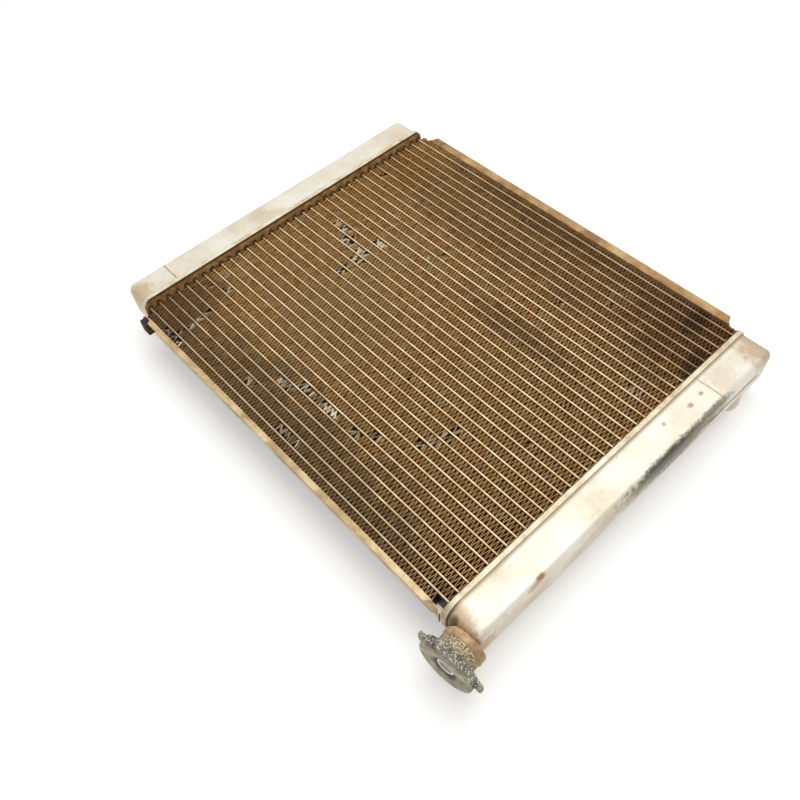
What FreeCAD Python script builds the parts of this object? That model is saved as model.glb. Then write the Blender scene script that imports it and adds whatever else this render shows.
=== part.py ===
import FreeCAD, Part
import math
import os

# All-aluminium crossflow engine radiator, lying on its back: the tubes run along X,
# the two side tanks along Y and the front face of the core looks up along Z.
# The shapes are drawn with z = 0 on the front face of the core and the centre of
# the core at x = y = 0, and are moved to the part's own origin when they are saved.
# Millimetres.

Vector = FreeCAD.Vector

# Core: flat tubes and folded fins
TUBE_COUNT = 35
TUBE_PITCH = 9.8
TUBE_THICKNESS = 1.9
TUBE_WALL = 0.35
CORE_DEPTH = 22.0
CORE_WIDTH = 385.0
TUBE_PAST_HEADER = 2.5
FIN_SHEET = 0.25
FIN_FOLDS = 20
FIN_INSET = 0.3
FIN_END_GAP = 2.0
OUTER_FIN_HEIGHT = 6.3
NEAR_FIN_LOSS_RIGHT = 9.0
NEAR_FIN_LOSS_LEFT = 4.0
FIN_GROUPS = 4
BRAZE_GAP = 0.02

# Header pans, one at each end of the tubes
HEADER_SHEET = 1.6
HEADER_FRONT = 9.0
HEADER_REAR = 9.0
PAN_HEIGHT = 4.6
PAN_EDGE_RADIUS = 1.2
HEADER_END = 171.5
NEAR_END_OF_FILLER_HEADER = 176.4
PAN_CORNER = 9.0
FILLER_PAN_CORNER = 14.0

# Side tanks, pressed from sheet and brazed into the pans
TANK_WALL = 1.8
TANK_REACH = 33.0
TANK_EDGE_RADIUS = 5.5
STEP_DEPTH = 0.4
STEP_FROM_END = 68.0
INLET_STEP_FROM_END = 39.0
END_BULGE = 2.5
END_BULGE_START = 7.5
END_BULGE_CORNER = 15.0

# Hose stubs on the rear of the tanks, beaded at their tips
STUB_RADIUS = 11.5
STUB_WALL = 1.5
STUB_BEAD = 1.0
STUB_BEAD_WIDTH = 3.0
STUB_BEAD_FROM_TIP = 2.0
STUB_LENGTH = 18.0
STUB_SADDLE = 4.0
STUB_FROM_HEADER = 20.5
OUTLET_FROM_END = 28.0
INLET_FROM_END = 26.0

# Side plates: an angle closes the core at the near side and a channel at the far side
PLATE_SHEET = 1.2
NEAR_FLANGE = 4.8
FAR_FLANGE = 8.4
FLANGE_END_GAP = 11.5
FLANGE_CHAMFER = 3.2
PLATE_END_GAP = 1.2
HOOK_RADIUS = 3.0
HOOK_HEIGHT = 16.0
PAD_LENGTH = 10.0
PAD_HEIGHT = 12.5
PAD_BELOW_FLANGE = 1.0
PAD_STANDS_OUT = 3.0
PAD_ROUNDING = 1.2

# Filler neck on the near end of the right tank, leaning to the front and outwards
NECK_LEAN_FRONT = 2.0
NECK_LEAN_OUT = 5.0
NECK_FROM_HEADER = 23.5
NECK_BELOW_FRONT = 13.0
NECK_RADIUS = 15.8
NECK_WALL = 1.8
NECK_FOOT = 3.0
NECK_HEIGHT = 17.0
NECK_COLLAR = 0.9
NECK_COLLAR_HEIGHT = 3.6
SEAT_LEVEL = 2.0
SEAT_BORE = 7.0
CAM_FLANGE = 3.4
CAM_THICKNESS = 1.8
CAM_NOTCH = 17.0
NIPPLE_LEVEL = 8.8
NIPPLE_RADIUS = 3.2
NIPPLE_BORE = 2.0
NIPPLE_LENGTH = 14.0
NIPPLE_BARB = 0.6

# Pressure cap
CAP_CLEARANCE = 2.6
CAP_SHEET = 1.2
CAP_FACE_LEVEL = 21.2
CAP_SKIRT_END = 12.6
CAP_FACE_ROUNDING = 1.6
CAP_DISH_RADIUS = 9.0
CAP_DISH_DEPTH = 1.6
CAP_RING_RADIUS = 6.4
LUG_HEIGHT = 1.4
LUG_WIDTH = 13.0
LUG_CLEARANCE = 0.9
EAR_LENGTH = 5.4
EAR_WIDTH = 17.0
EAR_LEVEL = 13.6
EAR_THICKNESS = 2.2
GASKET_THICKNESS = 0.6
SPRING_DISC_THICKNESS = 0.3
BELL_RADIUS = 6.0
BELL_WALL = 0.8
BELL_LENGTH = 7.6
BELL_FLANGE = 10.2
SPRING_RADIUS = 8.6
SPRING_WIRE = 1.6
SPRING_TURNS = 3.5
SPRING_STATIONS = 12
VALVE_RADIUS = 11.2
VALVE_PLATE_THICKNESS = 0.9
VALVE_SEAL_THICKNESS = 2.0
VALVE_HOLE = 1.6
VACUUM_DISC_RADIUS = 5.0
VACUUM_DISC_THICKNESS = 1.3
VACUUM_STEM = 1.1
VACUUM_TRAVEL = 1.5
VACUUM_HEAD = 2.2
RIVET_RADIUS = 2.4
RIVET_HEAD = 4.2
RIVET_HEAD_HEIGHT = 0.9
RUN_GAP = 0.1

# Worked out from the sizes above
HALF_CORE = CORE_WIDTH / 2
TUBE_SPAN = (TUBE_COUNT - 1) * TUBE_PITCH
FIN_HEIGHT = TUBE_PITCH - TUBE_THICKNESS
PLATE_FACE = TUBE_SPAN / 2 + TUBE_THICKNESS / 2 + OUTER_FIN_HEIGHT
TANK_INSET = HEADER_SHEET + BRAZE_GAP
TANK_FRONT = HEADER_FRONT - TANK_INSET
TANK_BACK = -CORE_DEPTH - HEADER_REAR + TANK_INSET
TANK_END = HEADER_END - TANK_INSET
FILLER_TANK_END = NEAR_END_OF_FILLER_HEADER - TANK_INSET
TANK_FLOOR = HALF_CORE + HEADER_SHEET
TANK_FACE = HALF_CORE + TANK_REACH
LOWEST = TANK_BACK - STUB_LENGTH
NECK_X = HALF_CORE + NECK_FROM_HEADER
NECK_END = FILLER_TANK_END + END_BULGE
NECK_BORE = NECK_RADIUS - NECK_WALL
CAP_RADIUS = NECK_RADIUS + CAM_FLANGE + CAP_CLEARANCE + CAP_SHEET
EAR_REACH = CAP_RADIUS + EAR_LENGTH
GASKET_LEVEL = NECK_HEIGHT + RUN_GAP
DISC_LEVEL = GASKET_LEVEL + GASKET_THICKNESS
DISC_TOP = DISC_LEVEL + SPRING_DISC_THICKNESS
SEAL_LEVEL = SEAT_LEVEL + RUN_GAP
VALVE_PLATE_LEVEL = SEAL_LEVEL + VALVE_SEAL_THICKNESS
VALVE_TOP = VALVE_PLATE_LEVEL + VALVE_PLATE_THICKNESS

# The part's origin: the middle of its outline, on the plane that it rests on
OUT = math.radians(NECK_LEAN_OUT)
EAR_TIP_X = NECK_X + (EAR_LEVEL + EAR_THICKNESS) * math.sin(OUT) + EAR_REACH * math.cos(OUT)
NECK_ALONG_Y = math.cos(OUT) * math.cos(math.radians(NECK_LEAN_FRONT))
NECK_ACROSS_Y = math.sqrt(1 - NECK_ALONG_Y ** 2)
CAP_NEAR_Y = (
    NECK_END + CAP_FACE_LEVEL * NECK_ALONG_Y + (CAP_RADIUS - CAP_FACE_ROUNDING) * NECK_ACROSS_Y
)
ORIGIN = Vector(
    (max(EAR_TIP_X, TANK_FACE) - TANK_FACE) / 2,
    (PLATE_FACE + FAR_FLANGE - CAP_NEAR_Y) / 2,
    LOWEST,
)


def box(x, y, z):
    """A block between two x, two y and two z values."""
    block = Part.makeBox(x[1] - x[0], y[1] - y[0], z[1] - z[0])
    block.translate(Vector(x[0], y[0], z[0]))
    return block


def round_slab(x, y, z, near_radius, far_radius):
    """A slab across X with a rounded outline in Y and Z."""
    lines = []
    corners = [
        (y[0], z[0], 1, 1, near_radius),
        (y[1], z[0], -1, 1, far_radius),
        (y[1], z[1], -1, -1, far_radius),
        (y[0], z[1], 1, -1, near_radius),
    ]
    points = []
    for cy, cz, sy, sz, radius in corners:
        along = Vector(x[0], cy + sy * radius, cz)
        across = Vector(x[0], cy, cz + sz * radius)
        centre = Vector(x[0], cy + sy * radius, cz + sz * radius)
        to_corner = Vector(0, -sy, -sz).normalize()
        middle = centre + to_corner * radius
        first, last = (across, along) if sy == sz else (along, across)
        points.append((first, middle, last))
    for index, (first, middle, last) in enumerate(points):
        lines.append(Part.Arc(first, middle, last).toShape())
        following = points[(index + 1) % len(points)][0]
        lines.append(Part.LineSegment(last, following).toShape())
    face = Part.Face(Part.Wire(lines))
    return face.extrude(Vector(x[1] - x[0], 0, 0))


def flat_tube(x, y, thickness, depth):
    """A rod with the flat-oval section of a radiator tube, along X."""
    radius = thickness / 2
    front = -radius
    back = -CORE_DEPTH + radius
    trim = (CORE_DEPTH - depth) / 2
    front -= trim
    back += trim
    top_arc = Part.Arc(
        Vector(x[0], y - radius, front), Vector(x[0], y, front + radius), Vector(x[0], y + radius, front)
    )
    low_arc = Part.Arc(
        Vector(x[0], y + radius, back), Vector(x[0], y, back - radius), Vector(x[0], y - radius, back)
    )
    wire = Part.Wire([
        top_arc.toShape(),
        Part.LineSegment(Vector(x[0], y + radius, front), Vector(x[0], y + radius, back)).toShape(),
        low_arc.toShape(),
        Part.LineSegment(Vector(x[0], y - radius, back), Vector(x[0], y - radius, front)).toShape(),
    ])
    return Part.Face(wire).extrude(Vector(x[1] - x[0], 0, 0))


def turned(profile):
    """A solid turned about Z from an outline of (radius, height) points."""
    points = [Vector(radius, 0, height) for radius, height in profile]
    outline = Part.makePolygon(points + [points[0]])
    return Part.Face(outline).revolve(Vector(0, 0, 0), Vector(0, 0, 1), 360)


def ring(inner, outer, low, high):
    """A plain ring, or a disc where the inner radius is zero."""
    return turned([(inner, low), (outer, low), (outer, high), (inner, high)])


def tube_y(index):
    return index * TUBE_PITCH - TUBE_SPAN / 2


def tube(index):
    reach = HALF_CORE + HEADER_SHEET + TUBE_PAST_HEADER
    x = (-reach, reach)
    outside = flat_tube(x, tube_y(index), TUBE_THICKNESS, CORE_DEPTH)
    bore = flat_tube(x, tube_y(index), TUBE_THICKNESS - 2 * TUBE_WALL, CORE_DEPTH - 2 * TUBE_WALL)
    return outside.cut(bore)


def fin_row(x, y_low, height):
    """One strip of sheet folded to and fro between two tubes."""
    step = (x[1] - x[0]) / (2 * FIN_FOLDS)
    slope = math.hypot(step, height - FIN_SHEET - 2 * BRAZE_GAP)
    lift = FIN_SHEET * slope / step
    low = y_low + BRAZE_GAP
    high = y_low + height - BRAZE_GAP
    upper, lower = [], []
    for fold in range(2 * FIN_FOLDS + 1):
        px = x[0] + fold * step
        if fold % 2:
            upper.append(Vector(px, high, 0))
            lower.append(Vector(px, high - lift, 0))
        else:
            upper.append(Vector(px, low + lift, 0))
            lower.append(Vector(px, low, 0))
    outline = Part.makePolygon(upper + lower[::-1] + [upper[0]])
    strip = Part.Face(outline).extrude(Vector(0, 0, -(CORE_DEPTH - 2 * FIN_INSET)))
    strip.translate(Vector(0, 0, -FIN_INSET))
    return strip


def fin_rows():
    """All the fin rows, from the near side plate to the far one."""
    ends = (-HALF_CORE + FIN_END_GAP, HALF_CORE - FIN_END_GAP)
    near_ends = (ends[0] + NEAR_FIN_LOSS_LEFT, ends[1] - NEAR_FIN_LOSS_RIGHT)
    rows = [fin_row(near_ends, -PLATE_FACE, OUTER_FIN_HEIGHT)]
    for index in range(TUBE_COUNT - 1):
        rows.append(fin_row(ends, tube_y(index) + TUBE_THICKNESS / 2, FIN_HEIGHT))
    rows.append(fin_row(ends, PLATE_FACE - OUTER_FIN_HEIGHT, OUTER_FIN_HEIGHT))
    return rows


def pan_ends(side):
    """The near and far ends of a header, and the radii of its corners."""
    if side > 0:
        return (-NEAR_END_OF_FILLER_HEADER, HEADER_END), FILLER_PAN_CORNER, PAN_CORNER
    return (-HEADER_END, HEADER_END), PAN_CORNER, PAN_CORNER


def mirrored_to(side, shape):
    """Shapes of both tanks are drawn on the right, and the left ones mirrored."""
    return shape if side > 0 else shape.mirror(Vector(0, 0, 0), Vector(1, 0, 0))


def inset_slab(side, x, inset):
    """A slab with the outline of a header, smaller all round by inset."""
    ends, near_corner, far_corner = pan_ends(side)
    y = (ends[0] + inset, ends[1] - inset)
    z = (-CORE_DEPTH - HEADER_REAR + inset, HEADER_FRONT - inset)
    return round_slab(x, y, z, near_corner - inset, far_corner - inset)


def edges_at(shape, x):
    """The edges that lie in one plane across X."""
    found = []
    for edge in shape.Edges:
        bounds = edge.BoundBox
        if abs(bounds.XMin - x) < 1e-6 and abs(bounds.XMax - x) < 1e-6:
            found.append(edge)
    return found


def header(side):
    """A shallow pan with a slot for each tube and a rim around the tank."""
    pan = inset_slab(side, (HALF_CORE, HALF_CORE + PAN_HEIGHT), 0)
    pan = pan.makeFillet(PAN_EDGE_RADIUS, edges_at(pan, HALF_CORE))
    pocket = inset_slab(side, (TANK_FLOOR, HALF_CORE + 2 * PAN_HEIGHT), HEADER_SHEET)
    slot_x = (HALF_CORE - 1, TANK_FLOOR + 1)
    slots = []
    for index in range(TUBE_COUNT):
        slot = flat_tube(
            slot_x, tube_y(index), TUBE_THICKNESS + 2 * BRAZE_GAP, CORE_DEPTH + 2 * BRAZE_GAP
        )
        slots.append(slot)
    pan = pan.cut(pocket).cut(Part.makeCompound(slots))
    return mirrored_to(side, pan)


def tank_form(side, inset):
    """The outer form of a tank, or its hollow where inset is the wall."""
    face = TANK_FACE - inset
    if side > 0:
        form = swollen_form(inset, face)
    else:
        form = inset_slab(side, (TANK_FLOOR, face), TANK_INSET + inset)
    return form.makeFillet(TANK_EDGE_RADIUS - inset, edges_at(form, face))


def swollen_form(inset, face):
    """The right tank, whose filler end swells out past the header's rim."""
    start = HALF_CORE + END_BULGE_START + inset
    root = inset_slab(1, (TANK_FLOOR, start), TANK_INSET + inset)
    y = (-NECK_END + inset, TANK_END - inset)
    z = (TANK_BACK + inset, TANK_FRONT - inset)
    far_corner = PAN_CORNER - TANK_INSET - inset
    body = round_slab((start, face), y, z, END_BULGE_CORNER - inset, far_corner)
    return root.fuse(body).removeSplitter()


def step_cut(side):
    """What the pressing of the long middle stretch leaves lower than the hose end."""
    if side > 0:
        y = (-NECK_END - 1, TANK_END - STEP_FROM_END)
    else:
        y = (-TANK_END + INLET_STEP_FROM_END, TANK_END + 1)
    x = (HALF_CORE + PAN_HEIGHT + STEP_DEPTH, TANK_FACE + 1)
    front = box(x, y, (TANK_FRONT - STEP_DEPTH, TANK_FRONT + 1))
    rear = box(x, y, (TANK_BACK - 1, TANK_BACK + STEP_DEPTH))
    return front.fuse(rear)


def stub_y(side):
    return TANK_END - OUTLET_FROM_END if side > 0 else -TANK_END + INLET_FROM_END


def stub_x():
    return HALF_CORE + STUB_FROM_HEADER


def tank(side):
    shell = tank_form(side, 0).cut(tank_form(side, TANK_WALL)).cut(step_cut(side))
    hole = Part.makeCylinder(STUB_RADIUS - STUB_WALL, 2 * TANK_EDGE_RADIUS)
    hole.translate(Vector(stub_x(), stub_y(side), TANK_BACK - TANK_EDGE_RADIUS))
    shell = shell.cut(hole)
    if side > 0:
        shell = shell.cut(on_neck(ring(0, SEAT_BORE, -4 * NECK_FOOT, NECK_FOOT)))
    return mirrored_to(side, shell)


def hose_stub(side):
    """A short pipe brazed on the rear wall, with a rolled bead near its tip."""
    inner = STUB_RADIUS - STUB_WALL
    tip = -STUB_LENGTH
    bead = tip + STUB_BEAD_FROM_TIP
    profile = [
        (inner, STUB_SADDLE),
        (inner, tip),
        (STUB_RADIUS - STUB_WALL / 2, tip),
        (STUB_RADIUS, tip + STUB_WALL / 2),
        (STUB_RADIUS, bead),
        (STUB_RADIUS + STUB_BEAD, bead + STUB_BEAD_WIDTH / 3),
        (STUB_RADIUS + STUB_BEAD, bead + 2 * STUB_BEAD_WIDTH / 3),
        (STUB_RADIUS, bead + STUB_BEAD_WIDTH),
        (STUB_RADIUS, STUB_SADDLE),
    ]
    pipe = turned(profile)
    pipe.translate(Vector(stub_x(), stub_y(side), TANK_BACK))
    return mirrored_to(side, pipe.cut(tank_form(side, 0)))


def plate_hook(end):
    """The web's end, rolled outwards beside the header."""
    outer = PLATE_FACE + HOOK_RADIUS
    middle = end * (HALF_CORE - PLATE_END_GAP - HOOK_RADIUS)
    roll = Part.makeCylinder(HOOK_RADIUS, HOOK_HEIGHT)
    roll = roll.cut(Part.makeCylinder(HOOK_RADIUS - PLATE_SHEET, HOOK_HEIGHT))
    low_z = -(CORE_DEPTH + HOOK_HEIGHT) / 2
    roll.translate(Vector(middle, outer, low_z))
    keep_x = sorted((middle, end * HALF_CORE))
    keep = box(keep_x, (PLATE_FACE - 1, outer), (-CORE_DEPTH, 0))
    return roll.common(keep)


def side_plate(side, flange):
    """A plate with its flanges outwards, cut back before the headers; the near one has no rear flange."""
    web_end = HALF_CORE - PLATE_END_GAP - HOOK_RADIUS
    web = box((-web_end, web_end), (PLATE_FACE, PLATE_FACE + PLATE_SHEET), (-CORE_DEPTH, 0))
    flange_end = HALF_CORE - FLANGE_END_GAP
    edge = PLATE_FACE + flange
    outline = Part.makePolygon([
        Vector(-flange_end, PLATE_FACE + PLATE_SHEET / 2, 0),
        Vector(flange_end, PLATE_FACE + PLATE_SHEET / 2, 0),
        Vector(flange_end - FLANGE_CHAMFER, edge, 0),
        Vector(-flange_end + FLANGE_CHAMFER, edge, 0),
        Vector(-flange_end, PLATE_FACE + PLATE_SHEET / 2, 0),
    ])
    front = Part.Face(outline).extrude(Vector(0, 0, -PLATE_SHEET))
    bends = [front, plate_hook(1), plate_hook(-1)]
    if side > 0:
        rear = front.copy()
        rear.translate(Vector(0, 0, -CORE_DEPTH + PLATE_SHEET))
        bends.append(rear)
    trim = (CORE_DEPTH - HOOK_HEIGHT) / 2
    plate = web.fuse(bends)
    for end in (1, -1):
        x = sorted((end * (flange_end + 1), end * HALF_CORE))
        for z in ((-trim, 1), (-CORE_DEPTH - 1, -CORE_DEPTH + trim)):
            plate = plate.cut(box(x, (PLATE_FACE - 1, PLATE_FACE + PLATE_SHEET + 1), z))
    plate = plate.removeSplitter()
    if side < 0:
        plate = plate.mirror(Vector(0, 0, 0), Vector(0, 1, 0))
    return plate


def rubber_pad():
    """A rubber pad bonded on the left end of the near plate."""
    start = -HALF_CORE + PLATE_END_GAP + HOOK_RADIUS + BRAZE_GAP
    face = PLATE_FACE + PLATE_SHEET
    out = PLATE_FACE + NEAR_FLANGE + PAD_STANDS_OUT
    top = -PLATE_SHEET - PAD_BELOW_FLANGE
    pad = box((start, start + PAD_LENGTH), (-out, -face), (top - PAD_HEIGHT, top))
    soft = [edge for edge in pad.Edges if edge.BoundBox.YMax < -face - 1]
    return pad.makeFillet(PAD_ROUNDING, soft)


def on_neck(shape):
    """Carries a shape drawn about Z to the filler neck's axis."""
    placed = shape.copy()
    placed.rotate(Vector(0, 0, 0), Vector(0, 1, 0), NECK_LEAN_OUT)
    placed.rotate(Vector(0, 0, 0), Vector(1, 0, 0), 90 - NECK_LEAN_FRONT)
    placed.translate(Vector(NECK_X, -NECK_END, -NECK_BELOW_FRONT))
    return placed


def filler_neck():
    """A short neck with the valve's seat in its floor and a notched cam flange."""
    collar = NECK_RADIUS + NECK_COLLAR
    flange = NECK_RADIUS + CAM_FLANGE
    flange_low = NECK_HEIGHT - CAM_THICKNESS
    neck = turned([
        (SEAT_BORE, -NECK_FOOT),
        (collar, -NECK_FOOT),
        (collar, NECK_COLLAR_HEIGHT - NECK_COLLAR),
        (NECK_RADIUS, NECK_COLLAR_HEIGHT),
        (NECK_RADIUS, flange_low - NECK_COLLAR / 2),
        (flange, flange_low),
        (flange, NECK_HEIGHT),
        (NECK_BORE, NECK_HEIGHT),
        (NECK_BORE, SEAT_LEVEL),
        (SEAT_BORE, SEAT_LEVEL),
    ])
    for turn in (0, 180):
        notch = box(
            (-CAM_NOTCH / 2, CAM_NOTCH / 2),
            (NECK_RADIUS + NECK_COLLAR / 2, flange + 1),
            (flange_low - NECK_COLLAR, NECK_HEIGHT + 1),
        )
        notch.rotate(Vector(0, 0, 0), Vector(0, 0, 1), turn)
        neck = neck.cut(notch)
    neck = neck.cut(nipple_rod(NIPPLE_RADIUS + BRAZE_GAP))
    return on_neck(neck).cut(tank_form(1, 0))


def nipple_rod(radius):
    rod = Part.makeCylinder(radius, NIPPLE_LENGTH + NECK_RADIUS, Vector(0, 0, 0), Vector(0, -1, 0))
    rod.translate(Vector(0, 0, NIPPLE_LEVEL))
    return rod.cut(ring(0, NECK_BORE, 0, NECK_HEIGHT))


def overflow_nipple():
    """The small pipe between the two seats that leads to the expansion bottle."""
    profile = [
        (NIPPLE_BORE, NECK_BORE + NECK_COLLAR / 2),
        (NIPPLE_RADIUS, NECK_BORE + NECK_COLLAR / 2),
        (NIPPLE_RADIUS, NECK_RADIUS + NIPPLE_LENGTH - 4 * NIPPLE_BARB - NIPPLE_BARB),
        (NIPPLE_RADIUS + NIPPLE_BARB, NECK_RADIUS + NIPPLE_LENGTH - 4 * NIPPLE_BARB),
        (NIPPLE_RADIUS, NECK_RADIUS + NIPPLE_LENGTH),
        (NIPPLE_BORE, NECK_RADIUS + NIPPLE_LENGTH),
    ]
    pipe = turned(profile)
    pipe.rotate(Vector(0, 0, 0), Vector(1, 0, 0), 90)
    pipe.translate(Vector(0, 0, NIPPLE_LEVEL))
    return on_neck(pipe)


def cap_shell():
    """The cap's pressed cover: a dished face, a skirt with two lugs and two ears."""
    inner = CAP_RADIUS - CAP_SHEET
    under = CAP_FACE_LEVEL - CAP_SHEET
    dish = CAP_FACE_LEVEL - CAP_DISH_DEPTH
    shell = turned([
        (0, dish - CAP_SHEET),
        (CAP_DISH_RADIUS - CAP_SHEET, dish - CAP_SHEET),
        (CAP_DISH_RADIUS + CAP_SHEET, under),
        (inner, under),
        (inner, CAP_SKIRT_END),
        (CAP_RADIUS, CAP_SKIRT_END),
        (CAP_RADIUS, CAP_FACE_LEVEL - CAP_FACE_ROUNDING),
        (CAP_RADIUS - CAP_FACE_ROUNDING / 3, CAP_FACE_LEVEL - CAP_FACE_ROUNDING / 3),
        (CAP_RADIUS - CAP_FACE_ROUNDING, CAP_FACE_LEVEL),
        (CAP_DISH_RADIUS + 2 * CAP_SHEET, CAP_FACE_LEVEL),
        (CAP_DISH_RADIUS, dish),
        (CAP_RING_RADIUS + CAP_SHEET / 2, dish),
        (CAP_RING_RADIUS, dish + CAP_SHEET / 2),
        (CAP_RING_RADIUS - CAP_SHEET / 2, dish),
        (0, dish),
    ])
    lug_reach = NECK_RADIUS + LUG_CLEARANCE
    lugs = box((-CAP_RADIUS, CAP_RADIUS), (-LUG_WIDTH / 2, LUG_WIDTH / 2),
               (CAP_SKIRT_END, CAP_SKIRT_END + LUG_HEIGHT))
    lugs = lugs.common(ring(lug_reach, inner + CAP_SHEET / 2, CAP_SKIRT_END, NECK_HEIGHT))
    ears = box((-EAR_REACH, EAR_REACH), (-EAR_WIDTH / 2, EAR_WIDTH / 2),
               (EAR_LEVEL, EAR_LEVEL + EAR_THICKNESS))
    ears = ears.common(ring(0, EAR_REACH, EAR_LEVEL, CAP_FACE_LEVEL))
    ears = ears.cut(ring(0, inner + CAP_SHEET / 2, 0, CAP_FACE_LEVEL))
    return on_neck(shell.fuse([lugs, ears]).removeSplitter())


def cap_gasket():
    return on_neck(ring(NECK_BORE - RUN_GAP, NECK_RADIUS + CAM_FLANGE / 2, GASKET_LEVEL, DISC_LEVEL))


def cap_spring_disc():
    return on_neck(ring(RIVET_RADIUS, NECK_RADIUS + CAM_FLANGE, DISC_LEVEL, DISC_TOP))


def cap_bell():
    """The inner cage that guides the valve and holds the spring's top end."""
    top = DISC_LEVEL
    low = top - BELL_LENGTH
    bell = turned([
        (RIVET_RADIUS, top),
        (RIVET_RADIUS, top - BELL_WALL),
        (BELL_RADIUS - BELL_WALL, top - BELL_WALL),
        (BELL_RADIUS - BELL_WALL, low),
        (BELL_RADIUS, low),
        (BELL_RADIUS, top - BELL_WALL),
        (BELL_FLANGE, top - BELL_WALL),
        (BELL_FLANGE, top),
    ])
    return on_neck(bell)


def cap_pressure_spring():
    low = VALVE_TOP + SPRING_WIRE / 2 + RUN_GAP
    high = DISC_LEVEL - BELL_WALL - SPRING_WIRE / 2 - RUN_GAP
    count = round(SPRING_TURNS * SPRING_STATIONS)
    points = []
    for station in range(count + 1):
        angle = 2 * math.pi * station / SPRING_STATIONS
        height = low + (high - low) * station / count
        points.append(Vector(SPRING_RADIUS * math.cos(angle), SPRING_RADIUS * math.sin(angle), height))
    line = Part.BSplineCurve()
    line.interpolate(points)
    section = Part.makeCircle(SPRING_WIRE / 2, points[0], line.tangent(line.FirstParameter)[0])
    coil = Part.Wire(line.toShape()).makePipeShell([Part.Wire(section)], True, True)
    return on_neck(coil)


def cap_rivet():
    """Holds the cover, the spring disc and the cage together."""
    dish = CAP_FACE_LEVEL - CAP_DISH_DEPTH
    low = DISC_LEVEL - BELL_WALL
    rivet = turned([
        (0, low - RIVET_HEAD_HEIGHT),
        (RIVET_HEAD, low - RIVET_HEAD_HEIGHT),
        (RIVET_HEAD, low),
        (RIVET_RADIUS, low),
        (RIVET_RADIUS, dish - CAP_SHEET),
        (0, dish - CAP_SHEET),
    ])
    return on_neck(rivet)


def cap_valve_plate():
    return on_neck(ring(VALVE_HOLE, VALVE_RADIUS, VALVE_PLATE_LEVEL, VALVE_TOP))


def cap_valve_seal():
    return on_neck(ring(VALVE_HOLE, VALVE_RADIUS, SEAL_LEVEL, VALVE_PLATE_LEVEL))


def cap_vacuum_valve():
    """A small disc under the seal, hung on a stem that opens inwards."""
    top = SEAL_LEVEL - RUN_GAP
    low = top - VACUUM_DISC_THICKNESS
    head = VALVE_TOP + VACUUM_TRAVEL + RUN_GAP
    valve = turned([
        (0, low),
        (VACUUM_DISC_RADIUS, low),
        (VACUUM_DISC_RADIUS, top),
        (VACUUM_STEM, top),
        (VACUUM_STEM, head),
        (VACUUM_HEAD, head),
        (VACUUM_HEAD, head + RIVET_HEAD_HEIGHT),
        (0, head + RIVET_HEAD_HEIGHT),
    ])
    return on_neck(valve)


def save(name, shape):
    """Moves a shape to the part's own origin and writes it as one STEP file."""
    placed = shape.copy()
    placed.translate(ORIGIN * -1)
    placed.exportStep(os.path.join("parts", name + ".step"))
    print(name, round(placed.Volume, 1), placed.isValid(), len(placed.Solids))


def main():
    os.makedirs("parts", exist_ok=True)
    for index in range(TUBE_COUNT):
        save("tube_%02d" % (index + 1), tube(index))
    rows = fin_rows()
    share = math.ceil(len(rows) / FIN_GROUPS)
    for group in range(FIN_GROUPS):
        fins = Part.makeCompound(rows[group * share:(group + 1) * share])
        save("fin_rows_%d" % (group + 1), fins)
    save("left_header", header(-1))
    save("right_header", header(1))
    save("left_tank", tank(-1))
    save("right_tank", tank(1))
    save("inlet_stub", hose_stub(-1))
    save("outlet_stub", hose_stub(1))
    save("near_side_plate", side_plate(-1, NEAR_FLANGE))
    save("far_side_plate", side_plate(1, FAR_FLANGE))
    save("rubber_pad", rubber_pad())
    save("filler_neck", filler_neck())
    save("overflow_nipple", overflow_nipple())
    save("cap_shell", cap_shell())
    save("cap_gasket", cap_gasket())
    save("cap_spring_disc", cap_spring_disc())
    save("cap_bell", cap_bell())
    save("cap_pressure_spring", cap_pressure_spring())
    save("cap_rivet", cap_rivet())
    save("cap_valve_plate", cap_valve_plate())
    save("cap_valve_seal", cap_valve_seal())
    save("cap_vacuum_valve", cap_vacuum_valve())


main()
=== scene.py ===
import math

import bmesh
import bpy
import numpy as np
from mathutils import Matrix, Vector, noise


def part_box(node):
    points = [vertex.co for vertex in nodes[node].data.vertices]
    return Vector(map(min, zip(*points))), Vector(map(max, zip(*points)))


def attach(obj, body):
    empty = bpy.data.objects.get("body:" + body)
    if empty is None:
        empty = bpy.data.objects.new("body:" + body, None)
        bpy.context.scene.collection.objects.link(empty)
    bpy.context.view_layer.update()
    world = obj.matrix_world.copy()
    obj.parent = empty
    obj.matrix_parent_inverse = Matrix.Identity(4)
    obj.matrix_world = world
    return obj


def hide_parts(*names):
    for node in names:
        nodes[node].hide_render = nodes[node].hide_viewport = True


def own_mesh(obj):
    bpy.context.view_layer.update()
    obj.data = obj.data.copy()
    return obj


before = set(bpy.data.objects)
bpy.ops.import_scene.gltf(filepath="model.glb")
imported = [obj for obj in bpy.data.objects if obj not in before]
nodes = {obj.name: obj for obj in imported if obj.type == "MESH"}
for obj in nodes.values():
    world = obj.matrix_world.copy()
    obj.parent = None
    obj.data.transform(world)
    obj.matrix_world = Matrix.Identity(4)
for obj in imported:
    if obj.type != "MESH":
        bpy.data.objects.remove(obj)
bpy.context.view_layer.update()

# Looks of a used all-aluminium engine radiator that lies with its front face up.
# Metres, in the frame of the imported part: the tubes run along X, the tanks along Y.
MM = 0.001

TUBES = sorted(name for name in nodes if name.startswith("tube_"))
FIN_GROUPS = sorted(name for name in nodes if name.startswith("fin_rows_"))

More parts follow.
